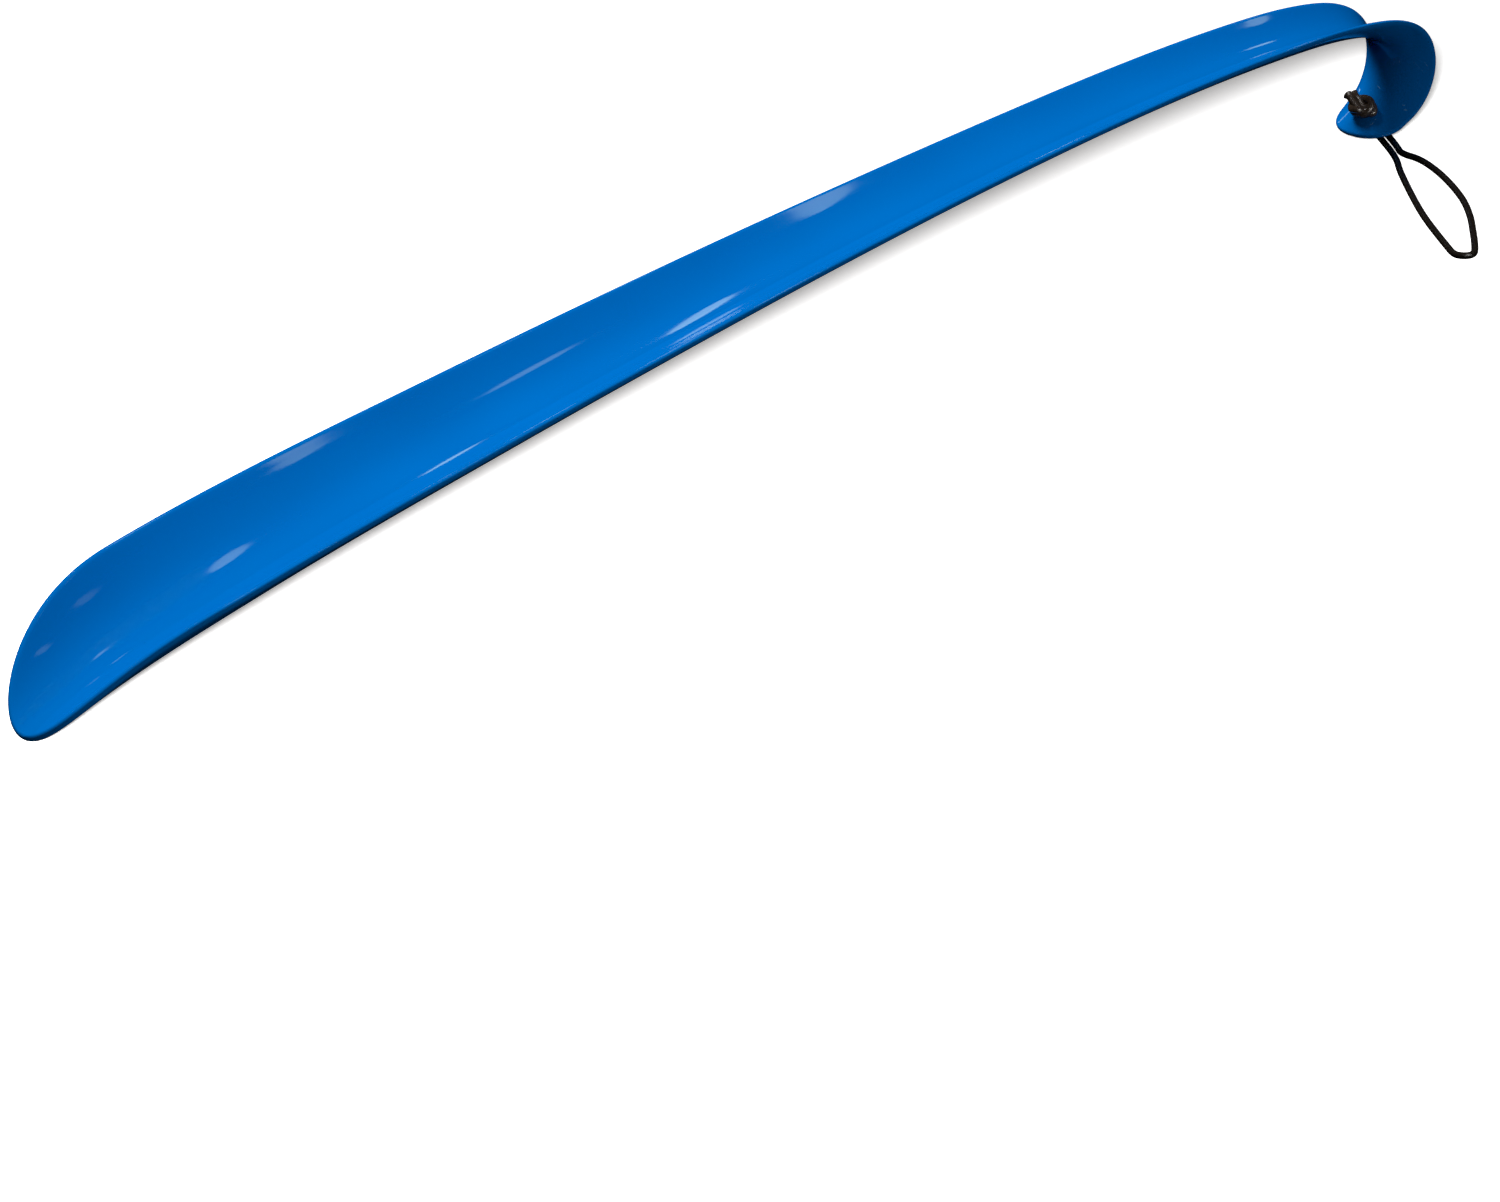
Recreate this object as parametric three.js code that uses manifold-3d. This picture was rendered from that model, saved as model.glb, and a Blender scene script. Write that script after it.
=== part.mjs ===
// Long-handled shoehorn with a hanging cord, in millimetres.
// +X runs from the blade's tip to the hook, +Y across the blade, +Z up. The shoehorn lies with its
// trough up: the blade's tip rests on the surface, and the hook's tip is held just off it by the cord
// that comes out under it.
import * as THREE from 'three';
import { mergeVertices } from 'three/addons/utils/BufferGeometryUtils.js';
import Module from 'manifold-3d';

const wasm = await Module();
wasm.setup();

// ---- Driving dimensions ----------------------------------------------------------------------

const DEGREE = Math.PI / 180;
const LENGTH_ALONG = 648; // along the moulding, from the blade's tip over the hook to its tip
const WALL = 2.2;
const RISE = 20.8 * DEGREE; // slope of the blade's tip above the surface

// How the centre line bends downwards: the radius at a distance from the blade's tip.
const BENDS = [
  { at: 0, radius: 230 },
  { at: 60, radius: 600 },
  { at: 155, radius: Infinity },
  { at: 390, radius: 2000 },
  { at: 535, radius: 1200 },
  { at: 575, radius: 190 },
  { at: 595, radius: 50 },
  { at: 614, radius: 11.6 },
  { at: 629, radius: 18.5 },
];
const HOOK_TIP_STRAIGHT = 17.5; // the last stretch of the hook has no bend
const BEND_FADE = 3; // length over which the hook's bend runs out

// The trough: width from rim to rim, and how far the rims stand above the middle.
const SECTIONS = [
  { at: 0, width: 47, depth: 17.5 },
  { at: 70, width: 53, depth: 13.2 },
  { at: 195, width: 47, depth: 10.2 },
  { at: 390, width: 36, depth: 6.3 },
  { at: 565, width: 31, depth: 7.3 },
  { at: 615, width: 28, depth: 7 },
  { at: LENGTH_ALONG, width: 24, depth: 2.5 },
];
const BLADE_END = { length: 56, power: 2 }; // an ellipse seen from above
const HOOK_END = { length: 12, power: 2.2 }; // a little squarer than an ellipse

const HOLE_DIAMETER = 5.8;
const HOLE_FROM_END = 10.9;

const CORD_DIAMETER = 2.4;
const CORD_SIDES = 8;
const CORD_STEPS = 78;
// The knot from its foot to its top: the wide tangle below, and the two tails close together above.
const KNOT_PROFILE = [
  { radius: 3.3, height: 0 },
  { radius: 4.5, height: 1.2 },
  { radius: 4.9, height: 2.8 },
  { radius: 4.7, height: 4.6 },
  { radius: 4.2, height: 6.2 },
  { radius: 3.5, height: 7.7 },
  { radius: 2.5, height: 9.0 },
];
const KNOT_TOP = 9.8;
const TOUCH_GAP = 0.3; // between the knot and the face it bears on

// Mesh fineness.
const CENTRE_STEP = 0.25;
const ACROSS = 14;
const STATIONS = { blade: 9, shaft: 22, hook: 26, tip: 6, hookStart: 540 };
const HOOK_CROWDING = 0.75; // under 1 puts more of the hook's stations near its end
const NUDGE = 0.01; // step for the outline's taper
const MERGE_WITHIN = 1e-4;
const DRILL_SIDES = 20;
const DRILL_LENGTH = 6 * WALL;
const KNOT_SIDES = 18;

const PLASTIC = { color: 0x0a5fae, roughness: 0.18, metalness: 0 };
const CORD = { color: 0x15110f, roughness: 0.55, metalness: 0 };

// ---- The moulding's centre line --------------------------------------------------------------

// Bend (1/radius) at a distance s along the centre line, in straight steps between the stations.
function bendAt(s) {
  const end = LENGTH_ALONG - HOOK_TIP_STRAIGHT;
  const fade = THREE.MathUtils.clamp((end + BEND_FADE / 2 - s) / BEND_FADE, 0, 1);
  const next = BENDS.findIndex((station) => station.at > s);
  if (next < 0) return fade / BENDS[BENDS.length - 1].radius;
  const [a, b] = [BENDS[next - 1], BENDS[next]];
  return THREE.MathUtils.lerp(1 / a.radius, 1 / b.radius, (s - a.at) / (b.at - a.at));
}

// Place and slope at even steps along the centre line.
function walkCentreLine() {
  const points = [];
  let [x, z, slope] = [0, 0, RISE];
  for (let s = 0; s <= LENGTH_ALONG + CENTRE_STEP; s += CENTRE_STEP) {
    points.push({ x, z, slope });
    const middle = slope - (bendAt(s) * CENTRE_STEP) / 2;
    slope -= bendAt(s + CENTRE_STEP / 2) * CENTRE_STEP;
    x += Math.cos(middle) * CENTRE_STEP;
    z += Math.sin(middle) * CENTRE_STEP;
  }
  return points;
}
const centreLine = walkCentreLine();

function centreAt(s) {
  const index = Math.min(Math.floor(s / CENTRE_STEP), centreLine.length - 2);
  const [a, b] = [centreLine[index], centreLine[index + 1]];
  const t = s / CENTRE_STEP - index;
  return {
    x: THREE.MathUtils.lerp(a.x, b.x, t),
    z: THREE.MathUtils.lerp(a.z, b.z, t),
    slope: THREE.MathUtils.lerp(a.slope, b.slope, t),
  };
}

// ---- The moulding's section ------------------------------------------------------------------

// A smooth curve through one value of the sections (cubic Hermite, slopes from the neighbours).
function sectionValue(key, s) {
  const last = SECTIONS.length - 1;
  const i = THREE.MathUtils.clamp(SECTIONS.findIndex((section) => section.at >= s) - 1, 0, last - 1);
  const slopeAt = (k) => {
    const [a, b] = [SECTIONS[Math.max(k - 1, 0)], SECTIONS[Math.min(k + 1, last)]];
    return (b[key] - a[key]) / (b.at - a.at);
  };
  const [a, b] = [SECTIONS[i], SECTIONS[i + 1]];
  const run = b.at - a.at;
  const u = (s - a.at) / run;
  const rise = u * u * (3 - 2 * u);
  const leave = u * (1 - u) * (1 - u) * run * slopeAt(i);
  const arrive = u * u * (u - 1) * run * slopeAt(i + 1);
  return a[key] * (1 - rise) + b[key] * rise + leave + arrive;
}

// How much of the full width is left near an end: 0 at the tip, 1 past the rounding.
function endRounding(distance, end) {
  const u = THREE.MathUtils.clamp(1 - distance / end.length, 0, 1);
  return Math.pow(1 - Math.pow(u, end.power), 1 / end.power);
}

function outlineHalfWidth(s) {
  const ends = endRounding(s, BLADE_END) * endRounding(LENGTH_ALONG - s, HOOK_END);
  return (sectionValue('width', s) / 2) * ends;
}

// Half of the wall at a point: full inside, running out in a quarter round at the rim.
function halfWall(s, y) {
  const wider = outlineHalfWidth(Math.min(s + NUDGE, LENGTH_ALONG));
  const narrower = outlineHalfWidth(Math.max(s - NUDGE, 0));
  const taper = (wider - narrower) / (2 * NUDGE);
  const fromSide = (outlineHalfWidth(s) - Math.abs(y)) / Math.hypot(1, taper);
  const fromRim = Math.min(fromSide, s, LENGTH_ALONG - s);
  const inside = THREE.MathUtils.clamp(fromRim / (WALL / 2), 0, 1);
  return (WALL / 2) * Math.sqrt(1 - (1 - inside) ** 2);
}

// A point of the moulding: s along it, y across it, side 1 in the trough, -1 under it, 0 between.
function skinPoint(s, y, side) {
  const { x, z, slope } = centreAt(s);
  const halfWidth = sectionValue('width', s) / 2;
  const depth = sectionValue('depth', s);
  const height = depth * (y / halfWidth) ** 2;
  const flare = (2 * depth * y) / halfWidth ** 2;
  const normal = new THREE.Vector3(-Math.sin(slope), -flare, Math.cos(slope));
  normal.divideScalar(Math.hypot(1, flare));
  const inTrough = new THREE.Vector3(x - Math.sin(slope) * height, y, z + Math.cos(slope) * height);
  const depthBelow = WALL / 2 - side * halfWall(s, y);
  return { point: inTrough.addScaledVector(normal, -depthBelow), normal };
}

// ---- Building solids -------------------------------------------------------------------------

// Distances along the moulding, close together at the rounded ends and in the hook.
function stationList() {
  const { blade, shaft, hook, tip, hookStart } = STATIONS;
  const list = [];
  const spread = (from, to, count, ease) => {
    for (let k = 1; k <= count; k += 1) list.push(from + (to - from) * ease(k / count));
  };
  spread(0, BLADE_END.length, blade, (t) => 1 - Math.cos((t * Math.PI) / 2));
  spread(BLADE_END.length, hookStart, shaft, (t) => t);
  spread(hookStart, LENGTH_ALONG - HOOK_END.length, hook, (t) => Math.pow(t, HOOK_CROWDING));
  spread(LENGTH_ALONG - HOOK_END.length, LENGTH_ALONG, tip, (t) => Math.sin((t * Math.PI) / 2));
  return list.slice(0, -1);
}

// The closed skin: one ring of points round each section, and a point at each tip.
function mouldingGeometry() {
  const stations = stationList();
  const positions = [];
  const push = ({ point }) => positions.push(point.x, point.y, point.z);
  for (const s of stations) {
    const across = (j) => outlineHalfWidth(s) * Math.sin((Math.PI * (j - ACROSS / 2)) / ACROSS);
    for (let j = 0; j <= ACROSS; j += 1) push(skinPoint(s, across(j), 1));
    for (let j = ACROSS - 1; j > 0; j -= 1) push(skinPoint(s, across(j), -1));
  }
  push(skinPoint(0, 0, 0));
  push(skinPoint(LENGTH_ALONG, 0, 0));

  const ring = 2 * ACROSS;
  const bladeTip = stations.length * ring;
  const hookTip = bladeTip + 1;
  const lastRing = bladeTip - ring;
  const index = [];
  for (let k = 0; k < ring; k += 1) {
    const next = (k + 1) % ring;
    index.push(bladeTip, k, next);
    index.push(hookTip, lastRing + next, lastRing + k);
    for (let row = 0; row < lastRing; row += ring) {
      index.push(row + k, row + ring + k, row + next);
      index.push(row + next, row + ring + k, row + ring + next);
    }
  }
  const geometry = new THREE.BufferGeometry();
  geometry.setAttribute('position', new THREE.Float32BufferAttribute(positions, 3));
  geometry.setIndex(index);
  return geometry;
}

function toSolid(geometry) {
  const bare = geometry.clone();
  bare.deleteAttribute('normal');
  bare.deleteAttribute('uv');
  const merged = mergeVertices(bare, MERGE_WITHIN);
  const vertProperties = Float32Array.from(merged.attributes.position.array);
  const triVerts = Uint32Array.from(merged.index.array);
  return new wasm.Manifold(new wasm.Mesh({ numProp: 3, vertProperties, triVerts }));
}

function toGeometry(solid) {
  const mesh = solid.getMesh();
  const geometry = new THREE.BufferGeometry();
  geometry.setAttribute('position', new THREE.BufferAttribute(mesh.vertProperties, 3));
  geometry.setIndex(new THREE.BufferAttribute(mesh.triVerts, 1));
  return geometry;
}

// ---- Placing ---------------------------------------------------------------------------------

// The moulding's own axes start at its blade tip; the part's origin is below its middle.
const moulding = mouldingGeometry();
moulding.computeBoundingBox();
const box = moulding.boundingBox;
const shift = new THREE.Vector3(-(box.min.x + box.max.x) / 2, 0, -box.min.z);
moulding.translate(shift.x, shift.y, shift.z);

// The cord hole runs square through the hook's tip.
const holeSeat = skinPoint(LENGTH_ALONG - HOLE_FROM_END, 0, -1);
const holeTop = holeSeat.point.clone().add(shift);
const holeAxis = holeSeat.normal.clone().negate();
const UP_Y = new THREE.Vector3(0, 1, 0);
const alongHole = new THREE.Quaternion().setFromUnitVectors(UP_Y, holeAxis);

function shoehornBody() {
  const radius = HOLE_DIAMETER / 2;
  const drill = new THREE.CylinderGeometry(radius, radius, DRILL_LENGTH, DRILL_SIDES);
  drill.applyQuaternion(alongHole);
  drill.translate(holeTop.x, holeTop.y, holeTop.z);
  const geometry = toGeometry(toSolid(moulding).subtract(toSolid(drill)));
  const mesh = new THREE.Mesh(geometry, new THREE.MeshStandardMaterial(PLASTIC));
  mesh.name = 'shoehorn_body';
  return mesh;
}

// The knot bears on the hook's inner face round the hole, with its two tails standing off it.
function cordKnot() {
  const profile = KNOT_PROFILE.map(({ radius, height }) => new THREE.Vector2(radius, height));
  profile.unshift(new THREE.Vector2(0, 0));
  profile.push(new THREE.Vector2(0, KNOT_TOP));
  const geometry = new THREE.LatheGeometry(profile, KNOT_SIDES);
  const mesh = new THREE.Mesh(geometry, new THREE.MeshStandardMaterial(CORD));
  mesh.name = 'cord_knot';
  mesh.quaternion.copy(alongHole);
  mesh.position.copy(holeTop).addScaledVector(holeAxis, TOUCH_GAP);
  return mesh;
}

// ---- The cord --------------------------------------------------------------------------------

// One length of cord: down through the hole and out under the hook, where its first strand leans on
// its last, then along the surface in a narrow leaf-shaped loop, sharply back at its far end, and up
// through the hole again.
const CORD_ROUTE = [
  [284.0, -1.3, 10.4],
  [285.0, -1.3, 8.8],
  [286.3, -1.7, 6.8],
  [287.2, -3.3, 5.2],
  [287.0, -5.6, 3.9],
  [285.6, -8.7, 3.0],
  [283.7, -11.7, 2.6],
  [281.2, -15.0, 2.55],
  [278.6, -18.2, 2.5],
  [276.6, -21.0, 2.25],
  [276.6, -23.6, 1.8],
  [277.2, -26.4, 1.4],
  [276.7, -29.6, 1.25],
  [275.1, -33.6, 1.25],
  [271.1, -41.1, 1.25],
  [264.4, -51.2, 1.25],
  [254.6, -63.5, 1.25],
  [243.9, -74.0, 1.25],
  [232.6, -83.3, 1.25],
  [224.2, -89.9, 1.25],
  [218.3, -94.0, 1.25],
  [216.8, -94.6, 1.25],
  [214.9, -94.5, 1.25],
  [213.2, -93.1, 1.25],
  [212.5, -91.0, 1.25],
  [213.2, -88.9, 1.25],
  [217.9, -82.4, 1.25],
  [231.5, -64.9, 1.25],
  [241.4, -53.5, 1.25],
  [262.8, -31.0, 1.25],
  [271.4, -22.9, 1.25],
  [276.8, -16.8, 1.25],
  [281.9, -10.3, 1.25],
  [284.4, -6.9, 1.3],
  [286.3, -3.8, 1.8],
  [287.2, -1.2, 2.9],
  [287.0, 0.5, 4.7],
  [286.2, 1.2, 6.7],
  [285.0, 1.3, 8.8],
  [284.0, 1.3, 10.4],
];

function hangingCord() {
  const points = CORD_ROUTE.map(([x, y, z]) => new THREE.Vector3(x, y, z));
  const section = new THREE.Shape();
  section.absarc(0, 0, CORD_DIAMETER / 2, 0, 2 * Math.PI);
  const geometry = new THREE.ExtrudeGeometry(section, {
    extrudePath: new THREE.CatmullRomCurve3(points),
    steps: CORD_STEPS,
    curveSegments: CORD_SIDES / 2, // segments for each half of the circle
  });
  const mesh = new THREE.Mesh(geometry, new THREE.MeshStandardMaterial(CORD));
  mesh.name = 'hanging_cord';
  return mesh;
}

const group = new THREE.Group();
group.add(shoehornBody(), cordKnot(), hangingCord());

export default group;
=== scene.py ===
import math

import bpy
import numpy as np
from mathutils import Matrix, Quaternion, Vector


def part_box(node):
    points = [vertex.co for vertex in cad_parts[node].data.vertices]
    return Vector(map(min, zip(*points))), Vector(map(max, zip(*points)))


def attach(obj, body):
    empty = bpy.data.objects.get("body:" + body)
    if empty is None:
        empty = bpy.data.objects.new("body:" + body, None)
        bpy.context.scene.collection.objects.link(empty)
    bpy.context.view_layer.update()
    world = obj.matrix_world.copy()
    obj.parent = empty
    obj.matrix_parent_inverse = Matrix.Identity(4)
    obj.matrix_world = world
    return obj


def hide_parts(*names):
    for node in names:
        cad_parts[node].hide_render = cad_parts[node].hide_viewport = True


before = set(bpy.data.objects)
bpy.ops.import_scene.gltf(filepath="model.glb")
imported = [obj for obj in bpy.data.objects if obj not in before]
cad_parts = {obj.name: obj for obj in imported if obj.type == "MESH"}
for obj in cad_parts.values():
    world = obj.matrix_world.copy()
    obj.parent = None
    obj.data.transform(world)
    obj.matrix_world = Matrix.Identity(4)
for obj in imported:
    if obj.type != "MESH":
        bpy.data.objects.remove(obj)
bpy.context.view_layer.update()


# ---- Camera ----------------------------------------------------------------------------------------
# It looks down along the shoehorn from beyond the blade's near side, with a long lens, so that the
# blade is large and near and the hook is small and far.

camera_data = bpy.data.cameras.new("camera")
camera_data.sensor_width = 36.0
camera_data.lens = 90.76
camera = bpy.data.objects.new("camera", camera_data)
eye = Vector((-0.77396, -0.76794, 0.48604))
aim = Vector((-0.03397, 0.0, -0.0638))
roll = math.radians(-2.295)
camera.rotation_mode = "QUATERNION"
camera.rotation_quaternion = (aim - eye).to_track_quat("-Z", "Y") @ Quaternion((0, 0, 1), roll)
camera.location = eye
bpy.context.collection.objects.link(camera)
bpy.context.scene.camera = camera


# ---- Hanging cord ----------------------------------------------------------------------------------
# One length of round braided polyester cord, 2.4 mm thick, waxed and dyed black. It comes down through
# the hole in the hook's tip, lies on the surface in a narrow leaf-shaped loop, folds sharply back on
# itself at the far end and goes up through the hole again. Both tails end in the knot.

cord_radius = 0.0012
cord_step = 0.00028  # between the rings along the loop
cord_route = [
    (0.2840, -0.0013, 0.0104), (0.2850, -0.0013, 0.0088), (0.2863, -0.0017, 0.0068),
    (0.2872, -0.0033, 0.0052), (0.2870, -0.0056, 0.0039), (0.2856, -0.0087, 0.0030),
    (0.2837, -0.0117, 0.0026), (0.2812, -0.0150, 0.00255), (0.2786, -0.0182, 0.0025),
    (0.2766, -0.0210, 0.00225), (0.2766, -0.0236, 0.0018), (0.2772, -0.0264, 0.0014),
    (0.2767, -0.0296, 0.00125), (0.2751, -0.0336, 0.00125), (0.2711, -0.0411, 0.00125),
    (0.2644, -0.0512, 0.00125), (0.2546, -0.0635, 0.00125), (0.2439, -0.0740, 0.00125),
    (0.2326, -0.0833, 0.00125), (0.2242, -0.0899, 0.00125), (0.2183, -0.0940, 0.00125),
    (0.2168, -0.0946, 0.00125), (0.2149, -0.0945, 0.00125), (0.2132, -0.0931, 0.00125),
    (0.2125, -0.0910, 0.00125), (0.2132, -0.0889, 0.00125), (0.2179, -0.0824, 0.00125),
    (0.2315, -0.0649, 0.00125), (0.2414, -0.0535, 0.00125), (0.2628, -0.0310, 0.00125),
    (0.2714, -0.0229, 0.00125), (0.2768, -0.0168, 0.00125), (0.2819, -0.0103, 0.00125),
    (0.2844, -0.0069, 0.0013), (0.2863, -0.0038, 0.0018), (0.2872, -0.0012, 0.0029),
    (0.2870, 0.0005, 0.0047), (0.2862, 0.0012, 0.0067), (0.2850, 0.0013, 0.0088),
    (0.2840, 0.0013, 0.0104),
]


def smooth_path(points, spacing, fine_steps=60):
    """A smooth curve through the points, with even steps along it.

    Between two points it is a cubic whose end slopes are those of the neighbours on either side,
    with time between points growing as the square root of their distance."""
    points = np.asarray(points, dtype=float)
    gaps = np.sqrt(np.linalg.norm(np.diff(points, axis=0), axis=1))
    time = np.concatenate([[0.0], np.cumsum(gaps)])
    slopes = np.gradient(points, time, axis=0)
    fine = np.linspace(0.0, time[-1], fine_steps * len(points))
    k = np.clip(np.searchsorted(time, fine, side="right") - 1, 0, len(points) - 2)
    run = (time[k + 1] - time[k])[:, None]
    u = (fine - time[k])[:, None] / run
    rise = u * u * (3 - 2 * u)
    curve = points[k] * (1 - rise) + points[k + 1] * rise
    curve += run * (u * (1 - u) ** 2 * slopes[k] + u * u * (u - 1) * slopes[k + 1])
    along = np.concatenate([[0.0], np.cumsum(np.linalg.norm(np.diff(curve, axis=0), axis=1))])
    even = np.linspace(0.0, along[-1], int(round(along[-1] / spacing)) + 1)
    return np.stack([np.interp(even, along, curve[:, axis]) for axis in range(3)], axis=1)


def unit(vectors):
    """Each vector divided by its own length."""
    return vectors / np.linalg.norm(vectors, axis=-1, keepdims=True)


def carried_sides(path, first_side):
    """Two directions square to the path at each of its points, turned as little as it allows.

    Each step takes the last direction, and removes what of it lies along the new tangent."""
    tangents = unit(np.gradient(path, axis=0))
    sides = np.empty_like(path)
    side = np.asarray(first_side, dtype=float)
    for step, tangent in enumerate(tangents):
        side = unit(side - (side @ tangent) * tangent)
        sides[step] = side
    return sides, np.cross(tangents, sides)


def closed_skin(name, rings, first_pole, last_pole, lengths, girth):
    """A closed mesh: rings of points joined row to row, and a fan to a pole at each end.

    The first texture coordinate runs along, by lengths, and the second round the ring, by girth."""
    rows, around = rings.shape[:2]
    vertices = np.concatenate([rings.reshape(-1, 3), [first_pole, last_pole]])
    row, k = np.meshgrid(np.arange(rows - 1), np.arange(around), indexing="ij")
    here = row * around + k
    beside = row * around + (k + 1) % around
    quads = np.stack([here, beside, beside + around, here + around], axis=-1).reshape(-1, 4)
    ring = np.arange(around)
    following = (ring + 1) % around
    last_row = (rows - 1) * around
    start = np.stack([np.full(around, rows * around), following, ring], axis=-1)
    finish = np.stack([np.full(around, rows * around + 1), last_row + ring, last_row + following], -1)
    mesh = bpy.data.meshes.new(name)
    mesh.from_pydata(vertices.tolist(), [], quads.tolist() + start.tolist() + finish.tolist())

    edge = np.linspace(0.0, 1.0, around + 1) if np.isscalar(girth) else girth
    edge = edge * (girth if np.isscalar(girth) else 1.0)
    along = np.stack([lengths[row], lengths[row], lengths[row + 1], lengths[row + 1]], axis=-1)
    round_it = np.stack([edge[k], edge[k + 1], edge[k + 1], edge[k]], axis=-1)
    on_quads = np.stack([along, round_it], axis=-1).reshape(-1, 2)
    ends = [np.full((around, 3), lengths[0]), np.full((around, 3), lengths[-1])]
    turned = [np.stack([edge[ring], edge[ring + 1], edge[ring]], -1),
              np.stack([edge[ring], edge[ring], edge[ring + 1]], -1)]
    on_fans = [np.stack([a, b], axis=-1).reshape(-1, 2) for a, b in zip(ends, turned)]
    layer = mesh.uv_layers.new(name="surface")
    layer.data.foreach_set("uv", np.concatenate([on_quads] + on_fans).ravel())
    mesh.polygons.foreach_set("use_smooth", np.ones(len(mesh.polygons), dtype=bool))
    mesh.validate()
    mesh.update()
    piece = bpy.data.objects.new(name, mesh)
    bpy.context.collection.objects.link(piece)
    return piece


def braid_height(turn, along, carriers=12, pitch=0.0085):
    """How far the braid stands out, 0 in its hollows and 1 on its crowns.

    Two families of helical yarns cross. Each is a row of half-round ridges, and at each crossing
    one family is on top and the other dips under it."""
    left = 0.5 * carriers * turn + 2 * np.pi * along * carriers / (2 * pitch)
    right = 0.5 * carriers * turn - 2 * np.pi * along * carriers / (2 * pitch)
    over = 0.5 + 0.5 * np.sin(left) * np.sin(right)
    ridge_left = np.abs(np.cos(left / 2)) * (0.55 + 0.45 * over)
    ridge_right = np.abs(np.cos(right / 2)) * (1.0 - 0.45 * over)
    return np.maximum(ridge_left, ridge_right)


def braided_tube(name, path, first_side, thickness, relief=0.035, around=36):
    """A cord along a path: a circle of half the thickness, roughened by the braid.

    A point at angle a is path + r (side cos a + across sin a), with r less in the braid's hollows."""
    sides, across = carried_sides(path, first_side)
    steps = np.concatenate([[0.0], np.cumsum(np.linalg.norm(np.diff(path, axis=0), axis=1))])
    angle = np.linspace(0.0, 2 * np.pi, around, endpoint=False)
    turn, along = np.meshgrid(angle, steps)
    radius = thickness[:, None] * (1.0 - relief * (1.0 - braid_height(turn, along)))
    out = sides[:, None] * np.cos(turn)[..., None] + across[:, None] * np.sin(turn)[..., None]
    rings = path[:, None] + radius[..., None] * out
    return closed_skin(name, rings, path[0], path[-1], steps, 2 * np.pi * cord_radius)


cord_path = smooth_path(cord_route, cord_step)
cord_loop = braided_tube("cord_loop", cord_path, (0, 1, 0), np.full(len(cord_path), cord_radius))


class Number:
    """A socket that carries a number. An operator on it adds a Math node and wraps its result."""

    def __init__(self, finish, socket):
        self.finish = finish
        self.socket = socket

    def combine(self, operation, *terms):
        inputs = dict(enumerate(terms))
        return self.finish.node("ShaderNodeMath", {"operation": operation}, inputs)

    def __add__(self, other):
        return self.combine("ADD", self, other)

    def __radd__(self, other):
        return self.combine("ADD", other, self)

    def __sub__(self, other):
        return self.combine("SUBTRACT", self, other)

    def __rsub__(self, other):
        return self.combine("SUBTRACT", other, self)

    def __mul__(self, other):
        return self.combine("MULTIPLY", self, other)

    def __rmul__(self, other):
        return self.combine("MULTIPLY", other, self)

    def __pow__(self, other):
        return self.combine("POWER", self, other)


class Finish:
    """A material being made: one Principled surface, and the nodes that vary it."""

    def __init__(self, name, **constants):
        self.material = bpy.data.materials.new(name)
        self.material.use_nodes = True
        self.tree = self.material.node_tree
        self.tree.nodes.clear()
        self.surface = self.tree.nodes.new("ShaderNodeBsdfPrincipled")
        self.output = self.tree.nodes.new("ShaderNodeOutputMaterial")
        self.tree.links.new(self.surface.outputs[0], self.output.inputs[0])
        for socket, value in constants.items():
            self.feed(self.surface.inputs[socket.replace("_", " ")], value)

    def feed(self, socket, value):
        """Links a socket to another, or sets it to a plain value."""
        if isinstance(value, Number):
            self.tree.links.new(value.socket, socket)
        else:
            socket.default_value = value

    def node(self, kind, settings=None, inputs=None, output=0):
        """Adds a node, makes its settings, then feeds its inputs, and wraps one output."""
        node = self.tree.nodes.new(kind)
        for key, value in (settings or {}).items():
            if key == "stops":
                low, high = node.color_ramp.elements
                (low.position, low.color), (high.position, high.color) = value
            else:
                setattr(node, key, value)
        for key, value in (inputs or {}).items():
            self.feed(node.inputs[key], value)
        return Number(self, node.outputs[output])

    def vary(self, socket, value):
        """Feeds one of the surface's own inputs."""
        self.feed(self.surface.inputs[socket], value)


def black_cord(name, black, dust_and_painted_lift, gloss):
    """Waxed black polyester: nearly black with a brown cast, dusty on the crowns of its yarns. The knot's
    copy has both colours painted lighter, partly as painted light for the hook's shade on it.
    """
    finish = Finish(name, IOR=1.5, Specular_IOR_Level=gloss)
    place = finish.node("ShaderNodeTexCoord", output="Object")
    surface = finish.node("ShaderNodeTexCoord", output="UV")
    dye = finish.node("ShaderNodeTexNoise", None, {"Vector": place, "Scale": 900.0, "Detail": 3.0})
    fibres_at = finish.node("ShaderNodeMapping", None,
                            {"Vector": surface, "Rotation": (0, 0, 0.5), "Scale": (1500, 9000, 1)})
    fibres = finish.node("ShaderNodeTexNoise", None, {"Vector": fibres_at, "Scale": 1.0, "Detail": 2.0})
    colour = finish.node("ShaderNodeMix", {"data_type": "RGBA"},
                         {0: (dye * 0.6 + fibres * 0.5) ** 2.0, 6: black, 7: dust_and_painted_lift}, output=2)
    finish.vary("Base Color", colour)
    finish.vary("Roughness", 0.22 + 0.25 * fibres)
    bump = finish.node("ShaderNodeBump", None,
                       {"Height": fibres, "Strength": 0.5, "Distance": 0.00008}, output="Normal")
    finish.vary("Normal", bump)
    return finish.material


loop_finish = black_cord("black_cord", (0.0055, 0.0042, 0.0032, 1.0), (0.019, 0.014, 0.010, 1.0), 0.35)
cord_loop.data.materials.append(loop_finish)
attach(cord_loop, "cord")
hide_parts("hanging_cord")


# ---- Knot ------------------------------------------------------------------------------------------
# An overhand knot tied with both tails of the cord together, pulled tight against the inner face of
# the hook, too large to slip through the hole. The tails are cut short, and their ends are melted
# into small hard beads so that the braid can't fray.

hole_top = Vector((0.28387, 0.0, 0.01082))
hole_axis = Vector((-0.5422, 0.0, 0.8403))
to_tip = Vector((-0.8403, 0.0, -0.5422))
to_far_side = Vector((0.0, 1.0, 0.0))

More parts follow.
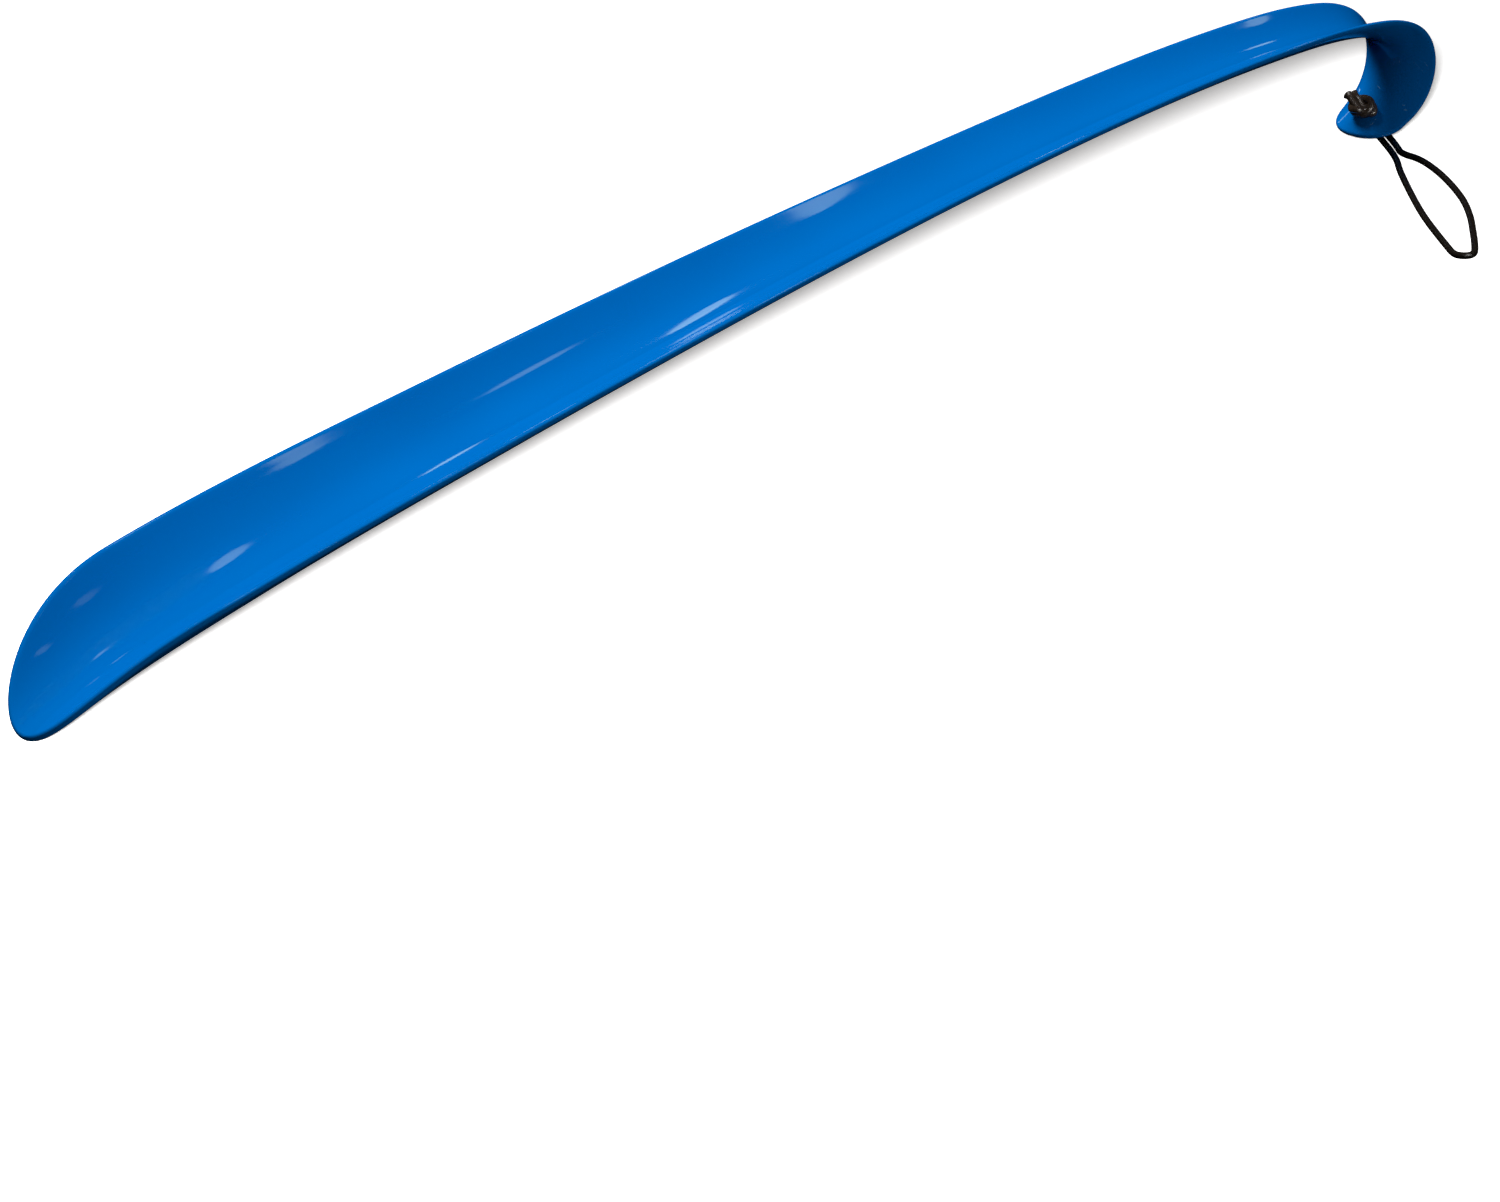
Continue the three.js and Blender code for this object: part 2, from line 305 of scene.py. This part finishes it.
# Places up the hole's axis, towards the hook's tip and towards the far side, and beside each the
# direction in which the two strands lie from each other.
knot_route = [
    ((-0.0004, 0.0000, 0.0000), (0, 1, 0)),
    ((0.0010, 0.0002, -0.0003), (0, 1, 0)),
    ((0.0024, 0.0010, -0.0010), (0, 1, 0.2)),
    ((0.0038, 0.0024, -0.0014), (0.5, 0.8, 0.2)),
    ((0.0042, 0.0038, -0.0002), (1, 0.2, 0.1)),
    ((0.0036, 0.0038, 0.0020), (1, 0.1, 0.1)),
    ((0.0032, 0.0022, 0.0036), (1, 0, 0)),
    ((0.0030, -0.0004, 0.0036), (1, 0, 0)),
    ((0.0028, -0.0022, 0.0020), (1, 0, 0)),
    ((0.0026, -0.0026, -0.0006), (1, 0, 0)),
    ((0.0026, -0.0012, -0.0029), (1, 0.1, 0)),
    ((0.0022, 0.0012, -0.0036), (0.9, 0.3, 0.2)),
    ((0.0022, 0.0026, -0.0020), (0.4, 0.8, 0.3)),
    ((0.0034, 0.0018, 0.0002), (0.1, 1, 0)),
    ((0.0048, 0.0008, 0.0018), (0, 1, 0)),
    ((0.0060, 0.0002, 0.0032), (0, 1, 0.1)),
    ((0.0066, -0.0004, 0.0044), (0.3, 1, 0)),
    ((0.0069, -0.0008, 0.0054), (0.4, 1, 0)),
]
tail_bead = 0.0019  # half its thickness
bead_from_end = 0.0009
bead_width = 0.0007
strand_offset = 0.00116  # from the middle of the pair to each strand's middle
strand_step = 0.00022  # between the rings along a strand
strand_swell = 1.06  # the knot's strands are squashed a little fatter than the loop
smallest_round = 0.0025  # keeps the last ring of a tail from closing to nothing


def knot_strand(name, side_sign, reach):
    """One of the two strands that run together through the knot, from the hole to its melted end.

    It is the knot's route moved half a pair's spacing to its own side, and swells to a bead."""
    axes = np.array([hole_axis, to_tip, to_far_side])
    middle = np.array([place for place, _ in knot_route]) @ axes + np.array(hole_top)
    apart = unit(np.array([direction for _, direction in knot_route], dtype=float)) @ axes
    points = middle + side_sign * strand_offset * apart
    points[-1] += reach * unit(points[-1] - points[-2])
    path = smooth_path(points, strand_step)
    left = np.linspace(1.0, 0.0, len(path)) * len(path) * strand_step
    swell = np.exp(-((left - bead_from_end) / bead_width) ** 2)
    rounding = np.sqrt(np.clip(1 - (1 - np.clip(left / tail_bead, 0, 1)) ** 2, smallest_round, 1))
    thickness = (cord_radius + (tail_bead - cord_radius) * swell) * rounding
    return braided_tube(name, path, to_far_side, thickness * strand_swell, relief=0.05)


def joined(name, pieces):
    """The pieces' meshes as one mesh."""
    with bpy.context.temp_override(active_object=pieces[0], selected_editable_objects=pieces):
        bpy.ops.object.join()
    pieces[0].name = name
    return pieces[0]


longer_tail = 0.0012
near_strand = knot_strand("near_strand", -1, 0.0)
far_strand = knot_strand("far_strand", 1, longer_tail)
knot = joined("overhand_knot", [near_strand, far_strand])
# The knot's cord is painted lighter and browner than the loop's. This is partly for its squashed, waxed
# strands, and partly painted light that makes up for the shade the hook casts on the knot.
knot_painted_lighter_finish = black_cord("knot_painted_lighter_cord", (0.022, 0.014, 0.009, 1.0), (0.12, 0.085, 0.06, 1.0), 0.8)
knot.data.materials.append(knot_painted_lighter_finish)
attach(knot, "knot")
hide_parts("cord_knot")


# ---- Shoehorn moulding -----------------------------------------------------------------------------
# Blade, shaft and hook are one injection moulding in glossy blue polypropylene, about 2 mm thick: a
# trough that is deep and wide at the blade, shallow along the shaft, and curled over at the hook.
# All its edges are rounded, and the cord's hole is drilled through the hook's tip with soft edges.

moulding_length = 0.648  # along it, from the blade's tip over the hook to its tip
wall = 0.0022
rise = math.radians(20.8)  # slope of the blade's tip above the surface

# How the centre line bends downwards: the distance from the blade's tip, and the radius there.
bends = [(0, 0.230), (0.060, 0.600), (0.155, math.inf), (0.390, 2.0), (0.535, 1.2),
         (0.575, 0.190), (0.595, 0.050), (0.614, 0.0116), (0.629, 0.0185)]
hook_start = 0.540  # from here on the moulding bends into the hook
hook_tip_straight = 0.0175
bend_fade = 0.003

# The trough: the distance from the blade's tip, its width, and how far its rims stand up.
sections = np.array([(0, 0.047, 0.0175), (0.070, 0.053, 0.0132), (0.195, 0.047, 0.0102),
                     (0.390, 0.036, 0.0063), (0.565, 0.031, 0.0073), (0.615, 0.028, 0.0070),
                     (moulding_length, 0.024, 0.0025)])
blade_rounding = (0.056, 2)  # an ellipse seen from above
hook_rounding = (0.012, 2.2)  # a little squarer than an ellipse

hole_radius = 0.0029
hole_from_end = 0.0109
hole_edge = 0.0006


def centre_line(step=0.00025):
    """Distance, place and slope at even steps along the middle of the trough.

    The slope starts at the blade's rise and loses the bend, 1 / radius, over each step."""
    at = np.array([station for station, _ in bends])
    bend_there = np.array([1.0 / radius for _, radius in bends])
    along = np.arange(0.0, moulding_length + 2 * step, step)
    halfway = along[:-1] + step / 2
    fade = np.clip((moulding_length - hook_tip_straight + bend_fade / 2 - halfway) / bend_fade, 0, 1)
    bend = np.interp(halfway, at, bend_there) * np.where(halfway >= at[-1], fade, 1.0)
    slope = rise - np.concatenate([[0.0], np.cumsum(bend * step)])
    middle = slope[:-1] - bend * step / 2
    x = np.concatenate([[0.0], np.cumsum(np.cos(middle) * step)])
    z = np.concatenate([[0.0], np.cumsum(np.sin(middle) * step)])
    return along, x, z, slope


def section_value(column, s):
    """A smooth curve through one column of the sections.

    Between two sections it is a cubic whose end slopes are those of the neighbours on either side."""
    at, value = sections[:, 0], sections[:, column]
    before = np.maximum(np.arange(len(at)) - 1, 0)
    after = np.minimum(np.arange(len(at)) + 1, len(at) - 1)
    slope = (value[after] - value[before]) / (at[after] - at[before])
    k = np.clip(np.searchsorted(at, s) - 1, 0, len(at) - 2)
    run = at[k + 1] - at[k]
    u = (s - at[k]) / run
    eased = u * u * (3 - 2 * u)
    leave = u * (1 - u) ** 2 * run * slope[k]
    arrive = u * u * (u - 1) * run * slope[k + 1]
    return value[k] * (1 - eased) + value[k + 1] * eased + leave + arrive


def end_rounding(distance, length, power):
    """How much of the full width is left near an end: 0 at the tip and 1 past the rounding."""
    u = np.clip(1 - distance / length, 0, 1)
    return (1 - u ** power) ** (1 / power)


def outline(s):
    """Half of the width seen from above, at a distance s from the blade's tip."""
    ends = end_rounding(s, *blade_rounding) * end_rounding(moulding_length - s, *hook_rounding)
    return section_value(1, s) / 2 * ends


line_at, line_x, line_z, line_slope = centre_line()


def skin_point(s, y, side):
    """The moulding's surface, s along it and y across it, in the trough (side 1) or under it (-1).

    The trough is a parabola across the centre line. The wall lies under it, square to it, and runs
    out in a half round at every edge."""
    nudge = 0.00001
    wider = outline(np.minimum(s + nudge, moulding_length))
    taper = (wider - outline(np.maximum(s - nudge, 0))) / (2 * nudge)
    from_side = (outline(s) - np.abs(y)) / np.hypot(1, taper)
    from_rim = np.minimum(np.minimum(from_side, s), moulding_length - s)
    inside = np.clip(from_rim / (wall / 2), 0, 1)
    half_wall = wall / 2 * np.sqrt(1 - (1 - inside) ** 2)
    half_width = section_value(1, s) / 2
    depth = section_value(2, s)
    height = depth * (y / half_width) ** 2
    flare = 2 * depth * y / half_width ** 2
    slope = np.interp(s, line_at, line_slope)
    normal = np.stack([-np.sin(slope), -flare, np.cos(slope)], -1) / np.hypot(1, flare)[..., None]
    x = np.interp(s, line_at, line_x) - np.sin(slope) * height
    z = np.interp(s, line_at, line_z) + np.cos(slope) * height
    in_trough = np.stack([x, y, z], axis=-1)
    return in_trough - normal * (wall / 2 - side * half_wall)[..., None], normal


def station_list(blade_rows=61, shaft_rows=221, hook_rows=161, tip_rows=33):
    """Distances along the moulding: close together at its two round ends and in the hook."""
    blade = blade_rounding[0] * (1 - np.cos(np.linspace(0, np.pi / 2, blade_rows)[1:]))
    shaft = np.linspace(blade[-1], hook_start, shaft_rows)[1:]
    hook = np.linspace(shaft[-1], moulding_length - hook_rounding[0], hook_rows)[1:]
    tip = moulding_length - hook_rounding[0] * (1 - np.sin(np.linspace(0, np.pi / 2, tip_rows)[1:-1]))
    return np.concatenate([blade, shaft, hook, tip])


def columns_across(half_width, inner=40, rim=9):
    """Places across one side of the wall, from one rim to the other, for each half width.

    The rim's quarter round takes even steps of angle, and the rest even steps across."""
    edge = np.minimum(wall / 2, half_width * 0.5)[:, None]
    quarter = 1 - np.cos(np.linspace(0, np.pi / 2, rim + 1))
    left = -half_width[:, None] + edge * quarter
    between = (half_width[:, None] - edge) * np.linspace(-1, 1, inner + 1)[1:-1]
    return np.concatenate([left, between, -left[:, ::-1]], axis=1)


stations = station_list()
over = columns_across(outline(stations))
along_grid = np.broadcast_to(stations[:, None], over.shape)
in_trough, _ = skin_point(along_grid, over, 1)
underneath, _ = skin_point(along_grid, over, -1)
rings = np.concatenate([in_trough, underneath[:, -2:0:-1]], axis=1)
poles, _ = skin_point(np.array([0.0, moulding_length]), np.zeros(2), np.zeros(2))
low_corner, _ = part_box("shoehorn_body")
shift = np.array([low_corner.x - poles[0, 0], 0.0, low_corner.z - rings[..., 2].min()])
shaft_row = 300  # the ring whose girth the pattern across the moulding is laid out on
closing_gap = 0.0005  # from that ring's last point back to its first
girth = np.concatenate([[0.0], np.cumsum(np.linalg.norm(np.diff(rings[shaft_row], axis=0), axis=1))])
moulding = closed_skin("shoehorn_moulding", (rings + shift)[:, ::-1], *(poles + shift),
                       stations, np.append(girth, girth[-1] + closing_gap))


def hole_cutter(spread=0.004, rim_steps=10, around=48):
    """What the hole takes away: a cylinder that flares at both faces in a quarter round.

    Its radius at height h over the wall's middle is the hole's, plus what a round of the edge's
    radius leaves where |h| passes the straight part."""
    straight = wall / 2 - hole_edge
    climb = np.linspace(0, np.pi / 2, rim_steps)
    flare_height = straight + hole_edge * np.sin(climb)
    flare_radius = hole_radius + hole_edge * (1 - np.cos(climb))
    height = np.concatenate([[-spread], -flare_height[::-1], flare_height, [spread]])
    radius = np.concatenate([[flare_radius[-1]], flare_radius[::-1], flare_radius, [flare_radius[-1]]])
    angle = np.linspace(0, 2 * np.pi, around, endpoint=False)
    seat, normal = skin_point(np.array([moulding_length - hole_from_end]), np.zeros(1), np.zeros(1))
    up = normal[0]
    side = np.array([0.0, 1.0, 0.0])
    across = np.cross(up, side)
    round_it = np.cos(angle)[:, None] * side + np.sin(angle)[:, None] * across
    centre = seat[0] + shift
    cutter_rings = centre + height[:, None, None] * up + radius[:, None, None] * round_it
    ends = (centre - spread * up, centre + spread * up)
    return closed_skin("hole_cutter", cutter_rings, *ends, height, 1.0)


def bored(piece, cutter):
    """The piece with the cutter taken away, as a plain mesh with no modifier left."""
    cut = piece.modifiers.new("hole", "BOOLEAN")
    cut.operation = "DIFFERENCE"
    cut.object = cutter
    cut.solver = "EXACT"
    depsgraph = bpy.context.evaluated_depsgraph_get()
    mesh = bpy.data.meshes.new_from_object(piece.evaluated_get(depsgraph), depsgraph=depsgraph)
    piece.modifiers.clear()
    piece.data = mesh
    bpy.data.objects.remove(cutter)


bored(moulding, hole_cutter())


def blue_plastic():
    """Glossy blue polypropylene: hardly varied in colour, with the slow waves of a cooled moulding,
    a faint orange peel, and hairline scratches along it from being slipped in and out of shoes."""
    finish = Finish("blue_plastic", IOR=1.49, Specular_IOR_Level=0.5)
    place = finish.node("ShaderNodeTexCoord", output="Object")
    surface = finish.node("ShaderNodeTexCoord", output="UV")
    flow = finish.node("ShaderNodeTexNoise", None, {"Vector": place, "Scale": 22.0, "Detail": 1.0})
    peel = finish.node("ShaderNodeTexNoise", None, {"Vector": place, "Scale": 700.0, "Detail": 2.0})
    smudge = finish.node("ShaderNodeTexNoise", None, {"Vector": place, "Scale": 55.0, "Detail": 4.0})
    hair_at = finish.node("ShaderNodeMapping", None,
                          {"Vector": surface, "Rotation": (0, 0, 0.04), "Scale": (26, 2600, 1)})
    hair = finish.node("ShaderNodeTexNoise", None, {"Vector": hair_at, "Scale": 1.0, "Detail": 1.0})
    black, white = (0, 0, 0, 1), (1, 1, 1, 1)
    scratch = finish.node("ShaderNodeValToRGB", {"stops": ((0.66, black), (0.76, white))}, {"Fac": hair})
    deep = (0.0, 0.132, 0.48, 1.0)
    light = (0.0, 0.150, 0.53, 1.0)
    colour = finish.node("ShaderNodeMix", {"data_type": "RGBA"}, {0: flow, 6: deep, 7: light}, output=2)
    finish.vary("Base Color", colour)
    finish.vary("Roughness", 0.035 + 0.035 * smudge + 0.05 * scratch)
    height = flow * 0.45 + peel * 0.003 - scratch * 0.001
    bump = finish.node("ShaderNodeBump", None,
                       {"Height": height, "Strength": 1.0, "Distance": 0.00012}, output="Normal")
    finish.vary("Normal", bump)
    return finish.material


moulding.data.materials.clear()
moulding.data.materials.append(blue_plastic())
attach(moulding, "shoehorn")
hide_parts("shoehorn_body")


# ---- Studio ----------------------------------------------------------------------------------------
# A plain white floor, with its own small light for a soft shadow. A large key light stands high over
# the shoehorn's far side, a long fill low on its near side, and a weak light in front. A row of narrow
# softboxes shows only as reflections in the gloss.

scene = bpy.context.scene
scene.view_settings.view_transform = "Standard"
scene.view_settings.look = "None"

world = bpy.data.worlds.new("studio")
world.use_nodes = True
world.node_tree.nodes["Background"].inputs["Color"].default_value = (1.0, 1.0, 1.0, 1.0)
world.node_tree.nodes["Background"].inputs["Strength"].default_value = 1.0
world.cycles_visibility.diffuse = False
world.cycles_visibility.glossy = False
scene.world = world

floor_size = 8.0
floor_mesh = bpy.data.meshes.new("floor")
reach = floor_size / 2
floor_mesh.from_pydata([(-reach, -reach, 0), (reach, -reach, 0), (reach, reach, 0), (-reach, reach, 0)],
                       [], [(0, 1, 2, 3)])
floor = bpy.data.objects.new("floor", floor_mesh)
bpy.context.collection.objects.link(floor)
paper = Finish("white_paper", Base_Color=(0.93, 0.93, 0.93, 1.0), Roughness=0.9, Specular_IOR_Level=0.0,
               Emission_Color=(1.0, 0.985, 0.975, 1.0), Emission_Strength=0.45)
floor_mesh.materials.append(paper.material)
floor.visible_diffuse = False
floor.visible_glossy = False


def group_of(name, *members):
    """A collection that a light is limited to."""
    group = bpy.data.collections.new(name)
    for member in members:
        group.objects.link(member)
    return group


on_object = group_of("lit_object", moulding, knot, cord_loop)
on_cord = group_of("lit_cord", knot, cord_loop)
on_floor = group_of("lit_floor", floor)


def softbox(name, place, target, size, power, receivers, long_side=(1, 0, 0), shape="RECTANGLE"):
    """A flat light at a place, facing a target, with its first side along long_side."""
    data = bpy.data.lights.new(name, "AREA")
    data.shape = shape
    data.size, data.size_y = size
    data.energy = power
    back = (Vector(place) - Vector(target)).normalized()
    second = back.cross(Vector(long_side)).normalized()
    first = second.cross(back)
    turn = Matrix((first, second, back)).transposed().to_4x4()
    light = bpy.data.objects.new(name, data)
    light.matrix_world = Matrix.Translation(place) @ turn
    light.light_linking.receiver_collection = receivers
    light.visible_camera = False
    bpy.context.collection.objects.link(light)
    return light


def direction(azimuth, elevation):
    """The direction at an azimuth from +X towards +Y and an elevation above the floor, in degrees."""
    turn, lift = math.radians(azimuth), math.radians(elevation)
    return Vector((math.cos(lift) * math.cos(turn), math.cos(lift) * math.sin(turn), math.sin(lift)))


middle = Vector((0.0, 0.0, 0.04))
key = softbox("key", middle + 2.2 * direction(86, 68), middle, (0.9, 0.9), 70, on_object)
key.visible_glossy = False
fill = softbox("fill", middle + 2.0 * direction(-78, 4), middle, (1.8, 0.6), 11, on_object)
fill.visible_glossy = False
front = softbox("front", middle + 2.0 * direction(-134, 24), middle, (0.8, 0.8), 4, on_object)
front.visible_glossy = False
beside_eye = camera.rotation_quaternion @ Vector((-0.042, 0.052, 0.0))
floor_light = softbox("floor_light", eye + beside_eye, middle, (0.12, 0.12), 60, on_floor)

# Narrow softboxes: the spot of the moulding that each shows in, the direction in which it stands
# from there, how wide and how long it is, and its brightness.
strips = [
    ((0.093, -0.017, 0.054), (46, 4), (0.20, 0.06), 2.6),
    ((0.013, 0.017, 0.050), (-9, 54), (0.46, 0.08), 2.8),
    ((-0.054, 0.000, 0.039), (50, 31), (0.40, 0.07), 2.6),
    ((-0.112, 0.013, 0.036), (8, 62), (0.12, 0.10), 2.2),
    ((-0.115, -0.007, 0.034), (57, 6), (0.16, 0.07), 2.6),
    ((-0.161, -0.003, 0.028), (58, 22), (0.16, 0.05), 2.4),
    ((-0.227, 0.008, 0.021), (47, 62), (0.34, 0.09), 2.6),
    ((-0.187, 0.023, 0.035), (-38, 60), (0.14, 0.06), 2.6),
    ((-0.267, 0.019, 0.021), (-54, 62), (0.16, 0.06), 0.8),
    ((-0.285, 0.015, 0.014), (-66, 68), (0.16, 0.06), 1.0),
    ((-0.274, 0.005, 0.012), (70, 63), (0.12, 0.06), 2.6),
    ((0.235, 0.014, 0.053), (-10, 36), (0.22, 0.09), 2.4),
    ((0.228, 0.005, 0.048), (24, 30), (0.10, 0.07), 2.4),
    ((0.284, 0.000, 0.014), (118, 41), (0.50, 0.03), 1.6),
    ((0.277, 0.006, 0.006), (92, 35), (0.06, 0.05), 1.6),
]
strip_distance = 2.0
strip_tint = (0.70, 1.0, 0.85)
for number, (spot, (azimuth, elevation), size, brightness) in enumerate(strips):
    away = direction(azimuth, elevation)
    ellipse = math.pi / 4 * size[0] * size[1]
    power = brightness * math.pi * ellipse
    strip = softbox(f"strip_{number}", Vector(spot) + strip_distance * away, spot, size, power, on_object,
                    long_side=Vector((1, 0, 0)).cross(away), shape="ELLIPSE")
    strip.data.color = strip_tint
    strip.visible_diffuse = False


# One more softbox, near the hook, only for the gloss of the cord.
glint_away = direction(-108, 28)
glint_distance = 0.5
glint = softbox("knot_glint", hole_top + glint_distance * glint_away, hole_top, (0.16, 0.16), 1.6, on_cord)
glint.visible_diffuse = False


# ---- Updating the scene ----------------------------------------------------------------------------

bpy.context.view_layer.update()
